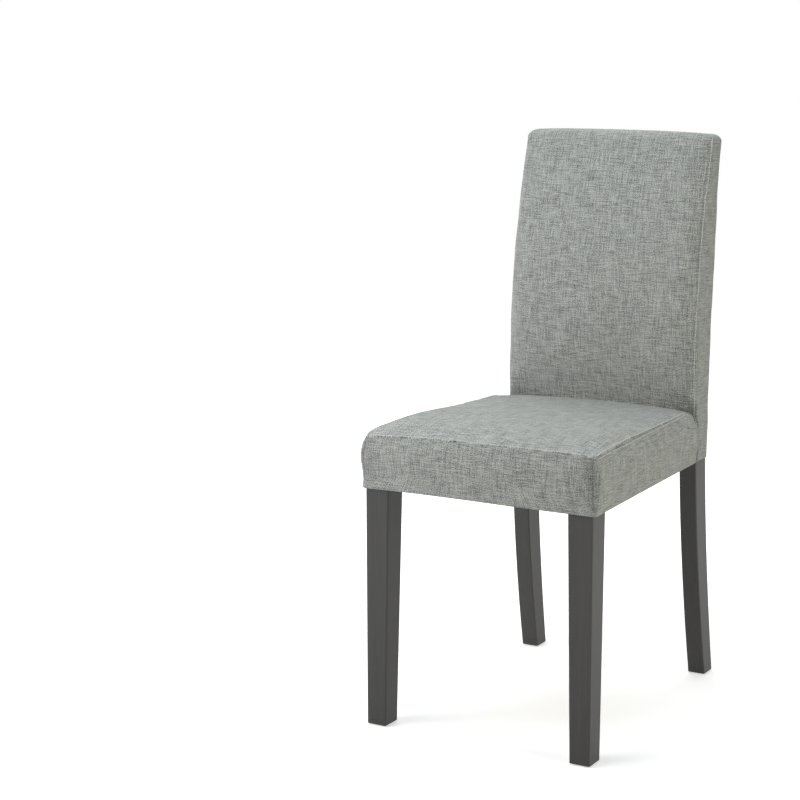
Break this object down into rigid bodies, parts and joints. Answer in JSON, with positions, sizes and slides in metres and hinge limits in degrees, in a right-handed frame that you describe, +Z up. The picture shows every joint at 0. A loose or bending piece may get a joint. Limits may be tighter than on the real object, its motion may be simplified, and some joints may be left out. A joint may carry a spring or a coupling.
{
  "type": "parsons chair",
  "caption": "Upholstered dining chair with a boxed and top-stitched seat, a tall raked back with rolled edges, tapered front legs and curved rear legs in dark lacquered wood",
  "frame": {"origin": "on the floor, under the middle of the chair's box", "axes": "+X to the chair's right as seen from in front of it, -Y the way the chair faces, +Z up"},
  "size_m": [0.4216, 0.577, 0.96],
  "materials": {
    "leg_lacquer": "satin",
    "seat_fabric": "matte",
    "back_fabric": "matte",
    "foam": "matte",
    "frame_wood": "matte",
    "plywood": "matte",
    "board": "matte",
    "dust_cloth": "matte",
    "steel_hardware": "satin",
    "brass_inserts": "satin",
    "glides": "satin"
  },
  "bodies": {
    "root": {"front_leg_left": "leg_lacquer", "rear_post_left": "leg_lacquer", "front_leg_right": "leg_lacquer", "rear_post_right": "leg_lacquer", "glide_front_left": "glides", "glide_rear_left": "glides", "glide_front_right": "glides", "glide_rear_right": "glides", "leg_bolt_left": "steel_hardware", "leg_washer_left": "steel_hardware", "leg_nut_left": "steel_hardware", "leg_bolt_right": "steel_hardware", "leg_washer_right": "steel_hardware", "leg_nut_right": "steel_hardware", "corner_block_front_left": "frame_wood", "block_screw_front_left_1": "steel_hardware", "block_screw_front_left_2": "steel_hardware", "corner_block_front_right": "frame_wood", "block_screw_front_right_1": "steel_hardware", "block_screw_front_right_2": "steel_hardware", "corner_block_back_left": "frame_wood", "block_screw_back_left_1": "steel_hardware", "block_screw_back_left_2": "steel_hardware", "corner_block_back_right": "frame_wood", "block_screw_back_right_1": "steel_hardware", "block_screw_back_right_2": "steel_hardware", "seat_rail_front": "frame_wood", "seat_rail_back": "frame_wood", "seat_rail_left": "frame_wood", "seat_rail_right": "frame_wood", "seat_bolt_left_lower": "steel_hardware", "bolt_washer_left_lower": "steel_hardware", "threaded_insert_left_lower": "brass_inserts", "seat_bolt_left_upper": "steel_hardware", "bolt_washer_left_upper": "steel_hardware", "threaded_insert_left_upper": "brass_inserts", "seat_bolt_right_lower": "steel_hardware", "bolt_washer_right_lower": "steel_hardware", "threaded_insert_right_lower": "brass_inserts", "seat_bolt_right_upper": "steel_hardware", "bolt_washer_right_upper": "steel_hardware", "threaded_insert_right_upper": "brass_inserts", "seat_deck": "plywood", "dust_cover": "dust_cloth", "seat_cover": "seat_fabric", "seat_foam": "foam", "back_foam": "foam", "back_bottom_rail": "frame_wood", "back_lumbar_rail": "frame_wood", "back_top_rail": "frame_wood", "back_board": "board", "back_lining": "board", "back_cover": "back_fabric"}
  },
  "joints": []
}
